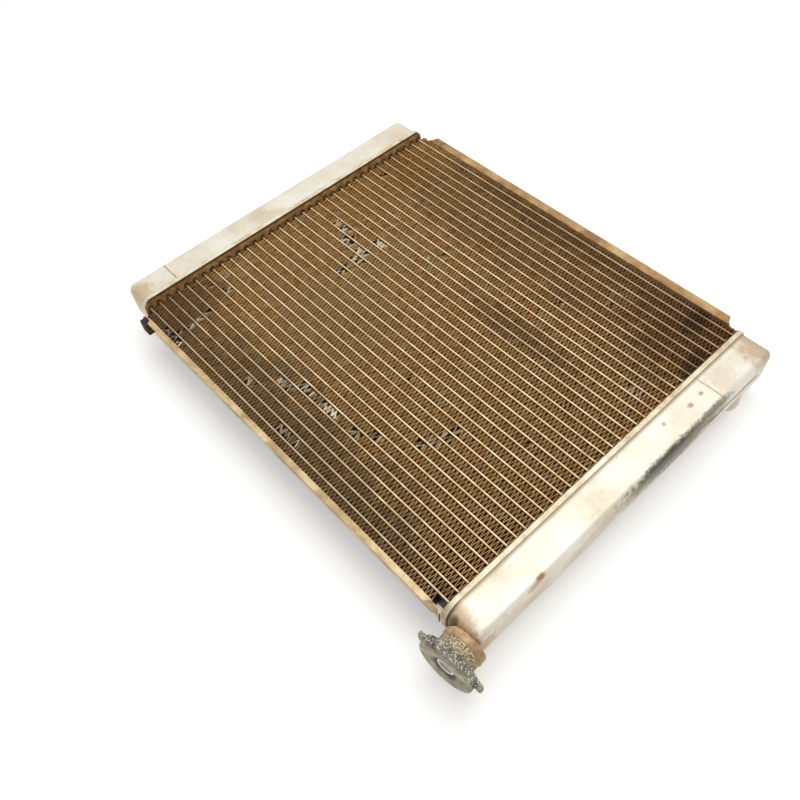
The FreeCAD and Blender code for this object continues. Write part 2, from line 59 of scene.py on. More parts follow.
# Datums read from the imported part
FIRST_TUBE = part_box(TUBES[0])
LAST_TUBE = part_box(TUBES[-1])
CORE_FRONT = FIRST_TUBE[1].z
CENTRE_X = (FIRST_TUBE[0].x + FIRST_TUBE[1].x) / 2
CENTRE_Y = (FIRST_TUBE[0].y + LAST_TUBE[1].y) / 2
TUBE_PITCH = (LAST_TUBE[0].y - FIRST_TUBE[0].y) / (len(TUBES) - 1)
FIRST_TUBE_Y = (FIRST_TUBE[0].y + FIRST_TUBE[1].y) / 2
HALF_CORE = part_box("right_header")[0].x - CENTRE_X


def core(x, y, z=0.0):
    """A place in the part's frame from millimetres off the centre of the core's front face."""
    return Vector((CENTRE_X + x * MM, CENTRE_Y + y * MM, CORE_FRONT + z * MM))


# The filler neck's axis, from its foot out through the cap
NECK_AXIS = Vector((0.08716, -0.99559, 0.03477)).normalized()
NECK_FOOT = core(216.0, -177.28, -13.0)
CAP_FACE = 21.2
NECK_RADIUS = 15.8


# Materials

def linear(code):
    """An sRGB hex colour as linear red, green, blue and alpha."""
    channels = [int(code[i:i + 2], 16) / 255 for i in (1, 3, 5)]
    return tuple(c / 12.92 if c <= 0.04045 else ((c + 0.055) / 1.055) ** 2.4 for c in channels) + (1.0,)


def add(tree, kind, inputs=None, stops=None, **settings):
    """Adds a shader node. An input takes a value, a hex colour, a node or a node's output."""
    made = tree.nodes.new("ShaderNode" + kind)
    for name, value in settings.items():
        setattr(made, name, value)
    for key, value in (inputs or {}).items():
        if isinstance(value, bpy.types.Node):
            value = value.outputs[0]
        if isinstance(value, bpy.types.NodeSocket):
            tree.links.new(value, made.inputs[key])
        elif isinstance(value, str):
            made.inputs[key].default_value = linear(value)
        else:
            made.inputs[key].default_value = value
    if stops:
        ramp = made.color_ramp.elements
        while len(ramp) < len(stops):
            ramp.new(0.5)
        for element, (position, colour) in zip(ramp, stops):
            element.position = position
            element.color = linear(colour)
    return made


def per(size_mm):
    """The texture scale at which a pattern repeats about every so many millimetres."""
    return 1 / (size_mm * MM)


def start_material(name, metallic, roughness=0.5):
    """A new material with its shader and the part's own coordinates in metres."""
    made = bpy.data.materials.new(name)
    made.use_nodes = True
    shader = made.node_tree.nodes["Principled BSDF"]
    shader.inputs["Metallic"].default_value = metallic
    shader.inputs["Roughness"].default_value = roughness
    place = add(made.node_tree, "TexCoord").outputs["Object"]
    return made, made.node_tree, shader, place


def wire(tree, shader, colour=None, roughness=None, height=None, depth_mm=0.1, strength=1.0):
    """Links a material's colour, roughness and surface height to its shader."""
    if colour:
        tree.links.new(colour.outputs[0], shader.inputs["Base Color"])
    if roughness:
        tree.links.new(roughness.outputs[0], shader.inputs["Roughness"])
    if height:
        relief = add(tree, "Bump", {"Height": height, "Distance": depth_mm * MM, "Strength": strength})
        tree.links.new(relief.outputs[0], shader.inputs["Normal"])


def stain(tree, place, base, centre, reach_mm, colour, strength, ragged_mm=4.0):
    """Lays a ragged patch of one colour over a base, around a place. Gives the colour and the patch."""
    off = add(tree, "VectorMath", {0: place, 1: centre}, operation="SUBTRACT")
    off = add(tree, "VectorMath", {0: off, 1: [1 / (reach * MM) for reach in reach_mm]}, operation="MULTIPLY")
    far = add(tree, "VectorMath", {0: off}, operation="LENGTH").outputs["Value"]
    rag = add(tree, "TexNoise", {"Vector": place, "Scale": per(ragged_mm), "Detail": 5.0, "Roughness": 0.7})
    edge = add(tree, "Math", {0: rag, 1: 1.6, 2: far}, operation="MULTIPLY_ADD")
    mask = add(tree, "MapRange", {"Value": edge, "From Min": 1.95, "From Max": 1.35, "To Max": strength},
               interpolation_type="SMOOTHSTEP")
    return add(tree, "MixRGB", {"Fac": mask, "Color1": base, "Color2": colour}), mask


# Stains on the tanks, and some painted shade: place, reach (x, y, z) in mm, colour, strength, raggedness in
# mm
TANK_STAINS_AND_SHADE = [
    (core(226.5, 42, -4), (6.5, 74, 20), "#655c48", 0.90, 5.0),
    (core(226.0, 28, 0), (5.5, 40, 10), "#38342a", 0.85, 3.0),
    (core(224.5, 92, 4), (4.0, 20, 6), "#857b68", 0.8, 2.0),
    # Painted shade: a broad darkening along the right tank's outer wall, which faces away from the light
    (core(229.0, -60, -14), (4.5, 190, 22), "#b39c78", 0.42, 30.0),
    (core(209.9, 77.6, 7.4), (2.4, 3.2, 3), "#a8835a", 0.8, 1.2),
    (core(208.8, 92.5, 7.4), (2.0, 2.4, 3), "#a8835a", 0.8, 1.0),
    (core(206.0, 49, 7.4), (2.0, 2.0, 3), "#9a7a58", 0.7, 1.0),
    (core(223.2, -110.6, 6), (2.2, 5.0, 4), "#9c5f45", 0.85, 1.2),
    (core(224.8, -118, 4), (2.0, 7.0, 4), "#c08e74", 0.6, 2.0),
    (core(214, -180, -6), (30, 12, 22), "#8f6536", 0.85, 9.0),
    (core(222, -172, -14), (14, 18, 16), "#ad8653", 0.70, 8.0),
    (core(205, -172, 5), (16, 12, 10), "#c6a577", 0.60, 6.0),
    # Painted shade in the gap between the header's rim and the swollen filler end, by the neck's foot
    (core(203, -176, 0), (5, 6, 9), "#5a3f20", 0.80, 2.5),
    # Thin darker lines along both joggles, painted shade of their small steps
    (core(213, 101.9, 4), (40, 1.0, 22), "#a08b68", 0.65, 4.0),
    (core(-213, -130.9, 4), (40, 1.0, 22), "#98825c", 0.75, 4.0),
    (core(211, 116, 7), (14, 15, 4), "#d3b496", 0.40, 8.0),
    (core(214, 168, 4), (22, 26, 16), "#b08a5c", 0.65, 9.0),
    (core(-208, -168, 3), (16, 18, 12), "#bb9d70", 0.65, 9.0),
    (core(-204, 160, 7), (9, 16, 4), "#dcc49a", 0.4, 6.0),
]


def brazed_tank_sheet():
    """Sheet aluminium pressed and furnace brazed: satin cream-silver with flux stains, pits and soot, and
    painted shade on the outer wall, in the groove at the foot, along the joggles and by the neck.
    """
    made, tree, shader, place = start_material("furnace_brazed_aluminium", 0.4)
    cloud = add(tree, "TexNoise", {"Vector": place, "Scale": per(55), "Detail": 7.0, "Roughness": 0.62})
    base = add(tree, "ValToRGB", {"Fac": cloud},
               stops=[(0.30, "#cdc0a6"), (0.42, "#dfd5c0"), (0.55, "#e9e3d3"), (0.72, "#f0ede3")])
    blush = add(tree, "TexNoise", {"Vector": place, "Scale": per(38), "Detail": 4.0, "Roughness": 0.55})
    blush = add(tree, "MapRange", {"Value": blush, "From Min": 0.52, "From Max": 0.72, "To Max": 0.38},
                interpolation_type="SMOOTHSTEP")
    base = add(tree, "MixRGB", {"Fac": blush, "Color1": base, "Color2": "#d8c2a0"})
    grey = add(tree, "TexNoise", {"Vector": place, "Scale": per(9), "Detail": 6.0, "Roughness": 0.7})
    grey = add(tree, "MapRange", {"Value": grey, "From Min": 0.56, "From Max": 0.74, "To Max": 0.35},
               interpolation_type="SMOOTHSTEP")
    base = add(tree, "MixRGB", {"Fac": grey, "Color1": base, "Color2": "#a79b86"})
    soot = None
    for centre, reach, colour, strength, ragged in TANK_STAINS_AND_SHADE:
        base, mask = stain(tree, place, base, centre, reach, colour, strength, ragged)
        soot = soot or mask
    # Painted shade along the foot, in the groove behind the header's rim
    axes = add(tree, "SeparateXYZ", {0: place})
    aside = add(tree, "Math", {0: axes.outputs["X"], 1: CENTRE_X}, operation="SUBTRACT")
    aside = add(tree, "Math", {0: aside}, operation="ABSOLUTE")
    foot = add(tree, "MapRange", {"Value": aside, "From Min": HALF_CORE + 8.0 * MM,
                                  "From Max": HALF_CORE + 5.0 * MM}, interpolation_type="SMOOTHSTEP")
    foot = add(tree, "Math", {0: foot, 1: 0.75}, operation="MULTIPLY")
    base = add(tree, "MixRGB", {"Fac": foot, "Color1": base, "Color2": "#8b7655"})
    # Corrosion pits, thick on the sooty ridge and rare elsewhere
    cells = add(tree, "TexVoronoi", {"Vector": place, "Scale": per(2.2), "Randomness": 1.0})
    share = add(tree, "TexNoise", {"Vector": place, "Scale": per(14), "Detail": 3.0, "Roughness": 0.6})
    share = add(tree, "Math", {0: soot, 1: 0.22, 2: share}, operation="MULTIPLY_ADD")
    dotted = add(tree, "MapRange", {"Value": share, "From Min": 0.60, "From Max": 0.74},
                 interpolation_type="SMOOTHSTEP")
    dots = add(tree, "MapRange", {"Value": cells.outputs["Distance"], "From Min": 0.30, "From Max": 0.12},
               interpolation_type="SMOOTHSTEP")
    pits = add(tree, "Math", {0: dots, 1: dotted}, operation="MULTIPLY")
    base = add(tree, "MixRGB", {"Fac": pits, "Color1": base, "Color2": "#42382a"})
    rough = add(tree, "MapRange", {"Value": cloud, "To Min": 0.58, "To Max": 0.36})
    grain = add(tree, "TexNoise", {"Vector": place, "Scale": per(1.8), "Detail": 5.0, "Roughness": 0.7})
    relief = add(tree, "Math", {0: pits, 1: -1.2, 2: grain}, operation="MULTIPLY_ADD")
    wire(tree, shader, base, rough, relief, 0.10, 0.55)
    return made


def brazed_header_sheet():
    """Sheet aluminium header: cream on its rim, caked brown where it faces the core."""
    made, tree, shader, place = start_material("flux_stained_and_shaded_aluminium", 0.35)
    axes = add(tree, "SeparateXYZ", {0: place})
    cloud = add(tree, "TexNoise", {"Vector": place, "Scale": per(16), "Detail": 6.0, "Roughness": 0.65})
    base = add(tree, "ValToRGB", {"Fac": cloud},
               stops=[(0.32, "#b7a27c"), (0.46, "#dccfb2"), (0.62, "#ece4d0")])
    golden = add(tree, "TexNoise", {"Vector": place, "Scale": per(30), "Detail": 3.0, "Roughness": 0.5})
    golden = add(tree, "MapRange", {"Value": golden, "From Min": 0.54, "From Max": 0.68, "To Max": 0.6},
                 interpolation_type="SMOOTHSTEP")
    base = add(tree, "MixRGB", {"Fac": golden, "Color1": base, "Color2": "#d2ae74"})
    # The face between the tubes
    aside = add(tree, "Math", {0: axes.outputs["X"], 1: CENTRE_X}, operation="SUBTRACT")
    aside = add(tree, "Math", {0: aside}, operation="ABSOLUTE")
    inner = add(tree, "MapRange", {"Value": aside, "From Min": HALF_CORE + 1.1 * MM,
                                   "From Max": HALF_CORE + 0.5 * MM}, interpolation_type="SMOOTHSTEP")
    patchy = add(tree, "TexNoise", {"Vector": place, "Scale": per(7), "Detail": 6.0, "Roughness": 0.7})
    cake = add(tree, "ValToRGB", {"Fac": patchy},
               stops=[(0.34, "#7a5a30"), (0.5, "#b48c55"), (0.66, "#d8b67c")])
    base = add(tree, "MixRGB", {"Fac": inner, "Color1": base, "Color2": cake})
    # A painted shadow line under the rim's edge, and dark blots round the mouths of the tubes, partly dirt
    # and partly painted shade in the hollows there
    low = add(tree, "MapRange", {"Value": axes.outputs["Z"], "From Min": CORE_FRONT + 6.4 * MM,
                                 "From Max": CORE_FRONT + 7.6 * MM, "To Max": 0.9})
    line = add(tree, "Math", {0: low, 1: inner}, operation="MULTIPLY")
    base = add(tree, "MixRGB", {"Fac": line, "Color1": base, "Color2": "#2f2110"})
    along = add(tree, "Math", {0: axes.outputs["Y"], 1: FIRST_TUBE_Y + TUBE_PITCH / 2}, operation="SUBTRACT")
    along = add(tree, "Math", {0: along, 1: TUBE_PITCH, 2: 0.0}, operation="WRAP")
    mouth = add(tree, "Math", {0: along, 1: TUBE_PITCH / 2}, operation="SUBTRACT")
    mouth = add(tree, "Math", {0: mouth, 1: 3.0 * MM}, operation="DIVIDE")
    mouth = add(tree, "Math", {0: mouth, 1: mouth}, operation="MULTIPLY")
    above = add(tree, "MapRange", {"Value": axes.outputs["Z"], "From Min": CORE_FRONT + 0.6 * MM,
                                   "From Max": CORE_FRONT + 3.4 * MM})
    above = add(tree, "Math", {0: above, 1: 2.0}, operation="POWER")
    near = add(tree, "Math", {0: mouth, 1: above}, operation="ADD")
    near = add(tree, "Math", {0: patchy, 1: 0.7, 2: near}, operation="MULTIPLY_ADD")
    # The blots are dirt and painted shade together
    dirt_and_shade_blot = add(tree, "MapRange", {"Value": near, "From Min": 1.30, "From Max": 0.80, "To Max": 0.85},
               interpolation_type="SMOOTHSTEP")
    dirt_and_shade_blot = add(tree, "Math", {0: dirt_and_shade_blot, 1: inner}, operation="MULTIPLY")
    base = add(tree, "MixRGB", {"Fac": dirt_and_shade_blot, "Color1": base, "Color2": "#22170b"})
    rough = add(tree, "MapRange", {"Value": cloud, "To Min": 0.7, "To Max": 0.42})
    grain = add(tree, "TexNoise", {"Vector": place, "Scale": per(1.4), "Detail": 4.0, "Roughness": 0.7})
    wire(tree, shader, base, rough, grain, 0.10, 0.5)
    return made


def dusty_plate_sheet(name, light, middle, dark):
    """Folded sheet aluminium under baked-on road dust, clouded and specked with brown."""
    made, tree, shader, place = start_material(name, 0.3)
    cloud = add(tree, "TexNoise", {"Vector": place, "Scale": per(20), "Detail": 6.0, "Roughness": 0.65})
    base = add(tree, "ValToRGB", {"Fac": cloud}, stops=[(0.32, dark), (0.5, middle), (0.68, light)])
    specks = add(tree, "TexNoise", {"Vector": place, "Scale": per(2.4), "Detail": 4.0, "Roughness": 0.75})
    specks = add(tree, "MapRange", {"Value": specks, "From Min": 0.58, "From Max": 0.72, "To Max": 0.6},
                 interpolation_type="SMOOTHSTEP")
    base = add(tree, "MixRGB", {"Fac": specks, "Color1": base, "Color2": "#5c4528"})
    rough = add(tree, "MapRange", {"Value": cloud, "To Min": 0.78, "To Max": 0.5})
    grain = add(tree, "TexNoise", {"Vector": place, "Scale": per(1.2), "Detail": 4.0, "Roughness": 0.7})
    wire(tree, shader, base, rough, grain, 0.10, 0.5)
    return made


# Dirt on the core: place, reach (x, y, z) in mm, colour, strength, raggedness in mm
CORE_DIRT = [
    (core(-30, -190), (260, 75, 60), "#6b5a41", 0.55, 30.0),
    (core(-185, -150), (52, 60, 60), "#7a5530", 0.55, 18.0),
    (core(60, 178), (230, 34, 60), "#6d4b2a", 0.55, 26.0),
    (core(-20, 130), (260, 46, 60), "#8f6027", 0.40, 24.0),
    (core(175, 150), (68, 74, 60), "#84501f", 0.65, 18.0),
    (core(150, 85), (34, 16, 60), "#c29a66", 0.35, 12.0),
    (core(-165, 100), (30, 120, 60), "#d39a3f", 0.35, 20.0),
    (core(-90, 5), (30, 60, 60), "#e2c48a", 0.40, 14.0),
    (core(-60, -60), (60, 60, 60), "#d8b67c", 0.30, 16.0),
    (core(60, 45), (70, 16, 60), "#4d371f", 0.35, 10.0),
    (core(160, 158), (10, 20, 60), "#2c190b", 0.60, 9.0),
    (core(186, 120), (9, 22, 60), "#3c2210", 0.60, 9.0),
]


def dirtied(tree, place, base, share=1.0):
    """The core's colour under its patches of road dirt."""
    for centre, reach, colour, strength, ragged in CORE_DIRT:
        base, _ = stain(tree, place, base, centre, reach, colour, strength * share, ragged)
    return base


def drawn_tube():
    """Extruded aluminium tube: a worn cream line along its nose, brown with dust between the fins, and
    painted darker there with depth as shade.
    """
    made, tree, shader, place = start_material("extruded_tube_aluminium", 0.25)
    height = add(tree, "SeparateXYZ", {0: place}).outputs["Z"]
    nose = add(tree, "MapRange", {"Value": height, "From Min": CORE_FRONT - 0.42 * MM,
                                  "From Max": CORE_FRONT - 0.14 * MM}, interpolation_type="SMOOTHSTEP")
    rub = add(tree, "TexNoise", {"Vector": place, "Scale": per(11), "Detail": 6.0, "Roughness": 0.7})
    wear = add(tree, "ValToRGB", {"Fac": rub},
               stops=[(0.30, "#c49f58"), (0.46, "#ead096"), (0.64, "#f9ecc4")])
    wear = dirtied(tree, place, wear, 0.75)
    # Painted shade: the sides between the fins go from brown dust near the front to near black deeper in
    flank_dust_and_shade = add(tree, "MapRange", {"Value": height, "From Min": CORE_FRONT - 3.5 * MM,
                                   "From Max": CORE_FRONT - 0.6 * MM})
    flank_dust_and_shade = add(tree, "MixRGB", {"Fac": flank_dust_and_shade, "Color1": "#2c1c0c", "Color2": "#6b4f2a"})
    base = add(tree, "MixRGB", {"Fac": nose, "Color1": flank_dust_and_shade, "Color2": wear})
    grain = add(tree, "TexNoise", {"Vector": place, "Scale": per(1.0), "Detail": 3.0, "Roughness": 0.6})
    wire(tree, shader, base, None, grain, 0.06, 0.4)
    return made


def dirty_and_shaded_fin_foil():
    """Thin rolled foil, golden brown with road dirt, bare and bright where it was bent, and painted dark with
    depth as the shade between its folds.
    """
    made, tree, shader, place = start_material("dirty_and_shaded_fin_foil", 0.1, 0.6)
    height = add(tree, "SeparateXYZ", {0: place}).outputs["Z"]
    cloud = add(tree, "TexNoise", {"Vector": place, "Scale": per(5), "Detail": 6.0, "Roughness": 0.75})
    dirt = add(tree, "ValToRGB", {"Fac": cloud},
               stops=[(0.30, "#b67a3a"), (0.5, "#e9b068"), (0.70, "#ffd79a")])
    fine = add(tree, "TexNoise", {"Vector": place, "Scale": per(16), "Detail": 6.0, "Roughness": 0.68})
    pale = add(tree, "MapRange", {"Value": fine, "From Min": 0.54, "From Max": 0.70, "To Max": 0.6},
               interpolation_type="SMOOTHSTEP")
    dirt = add(tree, "MixRGB", {"Fac": pale, "Color1": dirt, "Color2": "#fbe2ac"})
    dirt = dirtied(tree, place, dirt)
    # Painted shade: the colour darkens to near black below the front millimetre or two of each fold, which
    # alone is shown lit
    painted_fold_shade = add(tree, "MapRange", {"Value": height, "From Min": CORE_FRONT - 2.0 * MM,
                                  "From Max": CORE_FRONT - 0.3 * MM})
    base = add(tree, "MixRGB", {"Fac": painted_fold_shade, "Color1": "#1c0f05", "Color2": dirt})
    bared = add(tree, "Attribute", attribute_name="bared").outputs["Fac"]
    base = add(tree, "MixRGB", {"Fac": bared, "Color1": base, "Color2": "#fff0cf"})
    wire(tree, shader, base)
    return made


def corroded_neck():
    """Turned aluminium, a smooth tan ring at each end and a crust of pits between them."""
    made, tree, shader, place = start_material("pitted_turned_aluminium", 0.2, 0.62)
    off = add(tree, "VectorMath", {0: place, 1: NECK_FOOT}, operation="SUBTRACT")
    level = add(tree, "VectorMath", {0: off, 1: NECK_AXIS}, operation="DOT_PRODUCT").outputs["Value"]
    sway = add(tree, "TexNoise", {"Vector": place, "Scale": per(9), "Detail": 3.0, "Roughness": 0.6})
    level = add(tree, "Math", {0: sway, 1: 1.6 * MM, 2: level}, operation="MULTIPLY_ADD")
    rise = add(tree, "MapRange", {"Value": level, "From Min": 4.2 * MM, "From Max": 5.0 * MM})
    fall = add(tree, "MapRange", {"Value": level, "From Min": 11.6 * MM, "From Max": 10.8 * MM})
    band = add(tree, "Math", {0: rise, 1: fall}, operation="MULTIPLY")
    grit = add(tree, "TexNoise", {"Vector": place, "Scale": per(1.5), "Detail": 5.0, "Roughness": 0.75})
    crust = add(tree, "ValToRGB", {"Fac": grit},
                stops=[(0.40, "#3d3122"), (0.49, "#a8926c"), (0.58, "#e6d8b8")])
    cloud = add(tree, "TexNoise", {"Vector": place, "Scale": per(10), "Detail": 5.0, "Roughness": 0.65})
    smooth = add(tree, "ValToRGB", {"Fac": cloud},
                 stops=[(0.34, "#94734d"), (0.5, "#bb9a70"), (0.68, "#e2cca4")])
    base = add(tree, "MixRGB", {"Fac": band, "Color1": smooth, "Color2": crust})
    base, _ = stain(tree, place, base, NECK_FOOT + Vector((15, -5, 2)) * MM, (9, 9, 12), "#a07c50", 0.5)
    height = add(tree, "Math", {0: grit, 1: band}, operation="MULTIPLY")
    wire(tree, shader, base, None, height, 0.5, 0.9)
    return made


def corroded_cap():
    """Zinc-plated steel gone dull: a worn grey-tan face, a dark dish and a salt-crusted, grey-green skirt."""
    made, tree, shader, place = start_material("corroded_zinc_plated_steel", 0.35, 0.55)
    off = add(tree, "VectorMath", {0: place, 1: NECK_FOOT}, operation="SUBTRACT")
    level = add(tree, "VectorMath", {0: off, 1: NECK_AXIS}, operation="DOT_PRODUCT").outputs["Value"]
    back = add(tree, "VectorMath", {0: NECK_AXIS, "Scale": level}, operation="SCALE")
    out = add(tree, "VectorMath", {0: off, 1: back}, operation="SUBTRACT")
    radius = add(tree, "VectorMath", {0: out}, operation="LENGTH").outputs["Value"]
    cloud = add(tree, "TexNoise", {"Vector": place, "Scale": per(10), "Detail": 6.0, "Roughness": 0.7})
    grit = add(tree, "TexNoise", {"Vector": place, "Scale": per(1.5), "Detail": 5.0, "Roughness": 0.75})
    face = add(tree, "ValToRGB", {"Fac": cloud},
               stops=[(0.34, "#544b36"), (0.5, "#8b8267"), (0.66, "#bab29b")])
    dish = add(tree, "MapRange", {"Value": radius, "From Min": 11.0 * MM, "From Max": 8.6 * MM})
    face = add(tree, "MixRGB", {"Fac": dish, "Color1": face, "Color2": "#2b2118"})
    ring_out = add(tree, "MapRange", {"Value": radius, "From Min": 7.4 * MM, "From Max": 7.0 * MM})
    ring_in = add(tree, "MapRange", {"Value": radius, "From Min": 5.2 * MM, "From Max": 5.7 * MM})
    ring = add(tree, "Math", {0: ring_out, 1: ring_in}, operation="MULTIPLY")
    face = add(tree, "MixRGB", {"Fac": ring, "Color1": face, "Color2": "#e9e6de"})
    hub = add(tree, "MapRange", {"Value": radius, "From Min": 5.2 * MM, "From Max": 4.8 * MM})
    worn = add(tree, "ValToRGB", {"Fac": grit}, stops=[(0.40, "#3d3a34"), (0.56, "#a9a59b")])
    face = add(tree, "MixRGB", {"Fac": hub, "Color1": face, "Color2": worn})
    side = add(tree, "ValToRGB", {"Fac": cloud},
               stops=[(0.34, "#3a3b33"), (0.5, "#6a6b5c"), (0.7, "#9c9a84")])
    salt = add(tree, "MapRange", {"Value": grit, "From Min": 0.51, "From Max": 0.60, "To Max": 0.9},
               interpolation_type="SMOOTHSTEP")
    side = add(tree, "MixRGB", {"Fac": salt, "Color1": side, "Color2": "#ece8d8"})
    ears = add(tree, "MapRange", {"Value": radius, "From Min": 23.5 * MM, "From Max": 25.5 * MM})
    crust = add(tree, "ValToRGB", {"Fac": grit},
                stops=[(0.40, "#4a4632"), (0.48, "#9d957c"), (0.60, "#e6e0ca")])
    side = add(tree, "MixRGB", {"Fac": ears, "Color1": side, "Color2": crust})
    front = add(tree, "MapRange", {"Value": level, "From Min": (CAP_FACE - 2.2) * MM,
                                   "From Max": (CAP_FACE - 0.9) * MM})
    within = add(tree, "MapRange", {"Value": radius, "From Min": 11.5 * MM, "From Max": 10.5 * MM})
    front = add(tree, "Math", {0: front, 1: within}, operation="MAXIMUM")
    base = add(tree, "MixRGB", {"Fac": front, "Color1": side, "Color2": face})
    rough = add(tree, "MapRange", {"Value": front, "To Min": 0.75, "To Max": 0.42})
    wire(tree, shader, base, rough, grit, 0.25, 0.6)
    return made


def inner_metal(name, colour, worn, roughness, grain_mm):
    """A clean inner metal with the faint grain of its stamping or winding."""
    made, tree, shader, place = start_material(name, 1.0, roughness)
    grain = add(tree, "TexNoise", {"Vector": place, "Scale": per(grain_mm), "Detail": 4.0, "Roughness": 0.6})
    base = add(tree, "MixRGB", {"Fac": grain, "Color1": colour, "Color2": worn})
    wire(tree, shader, base, None, grain, 0.03, 0.4)
    return made


def moulded_rubber(name, colour, dusty):
    """Moulded black rubber, matt and greyed by dust."""
    made, tree, shader, place = start_material(name, 0.0, 0.85)
    dust = add(tree, "TexNoise", {"Vector": place, "Scale": per(6), "Detail": 5.0, "Roughness": 0.65})
    base = add(tree, "ValToRGB", {"Fac": dust}, stops=[(0.38, colour), (0.66, dusty)])
    grain = add(tree, "TexNoise", {"Vector": place, "Scale": per(0.8), "Detail": 3.0, "Roughness": 0.6})
    wire(tree, shader, base, None, grain, 0.05, 0.5)
    return made


tank_sheet = brazed_tank_sheet()
header_sheet = brazed_header_sheet()
near_plate_sheet = dusty_plate_sheet("dusty_near_plate_sheet", "#e8d2a8", "#cfb384", "#a58a60")
far_plate_sheet = dusty_plate_sheet("dusty_far_plate_sheet", "#cfae7c", "#b08a58", "#7d5f38")
tube_metal = drawn_tube()
fin_foil = dirty_and_shaded_fin_foil()
neck_metal = corroded_neck()
cap_metal = corroded_cap()
spring_steel = inner_metal("wound_spring_steel", "#8d8f90", "#6f6f6c", 0.35, 0.8)
valve_brass = inner_metal("stamped_brass", "#b99a58", "#8f7340", 0.38, 1.2)
pad_rubber = moulded_rubber("moulded_pad_rubber", "#1d1813", "#4a3a2a")
seal_rubber = moulded_rubber("moulded_seal_rubber", "#141414", "#2a2826")

# Edges that turn by less than this look rounded
SOLID_SHARP_DEG = 30

FINISHES = {
    "left_tank": tank_sheet, "right_tank": tank_sheet, "inlet_stub": tank_sheet, "outlet_stub": tank_sheet,
    "left_header": header_sheet, "right_header": header_sheet,
    "near_side_plate": near_plate_sheet, "far_side_plate": far_plate_sheet, "rubber_pad": pad_rubber,
    "filler_neck": neck_metal, "overflow_nipple": neck_metal, "cap_shell": cap_metal, "cap_rivet": cap_metal,
    "cap_gasket": seal_rubber, "cap_valve_seal": seal_rubber, "cap_spring_disc": spring_steel,
    "cap_pressure_spring": spring_steel, "cap_bell": valve_brass, "cap_valve_plate": valve_brass,
    "cap_vacuum_valve": valve_brass,
}
FINISHES.update({name: tube_metal for name in TUBES})
FINISHES.update({name: fin_foil for name in FIN_GROUPS})
for name, finish in FINISHES.items():
    mesh = nodes[name].data
    mesh.materials.clear()
    mesh.materials.append(finish)
    mesh.shade_smooth()
    mesh.set_sharp_from_angle(angle=math.radians(SOLID_SHARP_DEG))


def new_piece(name, vertices, faces, material, sharp_deg=None):
    """A mesh piece in the part's own frame that rides on the radiator."""
    mesh = bpy.data.meshes.new(name)
    mesh.from_pydata(vertices, [], faces)
    mesh.materials.append(material)
    if sharp_deg:
        mesh.shade_smooth()
        mesh.set_sharp_from_angle(angle=math.radians(sharp_deg))
    piece = bpy.data.objects.new(name, mesh)
    bpy.context.scene.collection.objects.link(piece)
    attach(piece, "radiator")
    return piece


def settled(piece):
    """Applies a piece's modifiers to its mesh."""
    view = bpy.context.evaluated_depsgraph_get()
    view.update()
    mesh = bpy.data.meshes.new_from_object(piece.evaluated_get(view))
    piece.modifiers.clear()
    piece.data = mesh


# Fins: foil folded to and fro in every space between two tubes

FIN_HALF_PITCH = 1.69 * MM
FIN_FOIL = 0.34 * MM
FIN_CREST = 0.45 * MM
BENT_DEPTH = 2.6 * MM
# Half of each flat crest, as a share of the half pitch
CREST_SHARE = 0.22
# How unevenly the foil is folded: along the strip as a share of the half pitch, and from the tube in mm
CREST_SCATTER = 0.09
CREST_GAP = (0.02, 0.16)
# Bent fins: how far they lean along the strip and towards its middle, as shares of the push
LEAN_ALONG = (-1.1, 1.7)
LEAN_IN = (0.2, 1.1)
DENT_SLOPE = 1.8
SUNK_PER_LEAN = 0.35
UNBARED_SHARE = 0.35
BARED_PUSH = 1.2 * MM
FRONT_DROP = 0.3
# The row beside the near plate is torn away for this far at each end
TORN_LEFT = 4 * MM
TORN_RIGHT = 9 * MM

# Bent fins: the space they are in, from x to x off the core's centre in mm, push in mm, brightness
DAMAGE = [
    (20, -160, -151, 1.5, 0.9), (20, -149, -136, 1.9, 1.0), (20, -131, -128, 1.2, 0.7),
    (19, -138, -119, 2.2, 1.0), (19, -117, -99, 2.0, 0.8), (18, -111, -95, 1.9, 0.9),
    (17, -108, -104, 1.3, 0.9), (16, -108, -98, 1.7, 1.0), (21, -113, -95, 1.9, 0.9),
    (21, -102, -95, 1.6, 0.9), (23, -61, -56, 1.3, 0.8), (24, -52, -46, 1.3, 0.7),
    (2, -69, -52, 1.2, 0.4), (4, -48, -27, 1.5, 0.6), (5, -29, -5, 1.8, 0.8), (5, -3, 22, 1.9, 1.0),
    (5, 33, 50, 1.5, 0.25), (6, 48, 66, 1.4, 0.2), (1, -12, 10, 1.1, 0.3), (1, 13, 17, 1.2, 0.9),
    (8, 78, 91, 1.3, 0.6), (9, 83, 100, 1.2, 0.6), (10, 84, 104, 1.1, 0.5), (11, 88, 108, 1.1, 0.35),
    (24, 158, 179, 1.0, 0.75), (19, 133, 152, 0.8, 0.25), (0, -165, -148, 1.7, 0.2),
    (0, -149, -136, 1.8, 1.0), (2, -149, -145, 1.2, 0.8), (3, -151, -147, 1.2, 0.9),
    (4, -153, -149, 1.2, 0.9), (6, -181, -173, 1.0, 0.8), (7, -165, -157, 0.9, 0.9),
    (28, -178, -174, 1.0, 0.9), (1, -152, -147, 1.2, 0.5), (33, -30, -22, 1.0, 0.4),
    (30, 90, 104, 0.9, 0.3), (27, 60, 70, 1.0, 0.4), (14, 140, 148, 1.0, 0.4), (12, 30, 34, 1.0, 0.4),
]


def damage_in(space, x):
    """How far the front edges of a space's fins are pushed, in metres, and how bright they are."""
    push = np.zeros_like(x)
    bright = np.zeros_like(x)
    for place, start, end, amount, shine in DAMAGE:
        if place == space:
            middle, half = CENTRE_X + (start + end) / 2 * MM, (end - start) / 2 * MM
            share = np.clip(DENT_SLOPE * (1 - np.abs(x - middle) / half), 0, 1)
            push = np.maximum(push, share * amount * MM)
            bright = np.maximum(bright, (share > 0) * shine)
    return push, bright


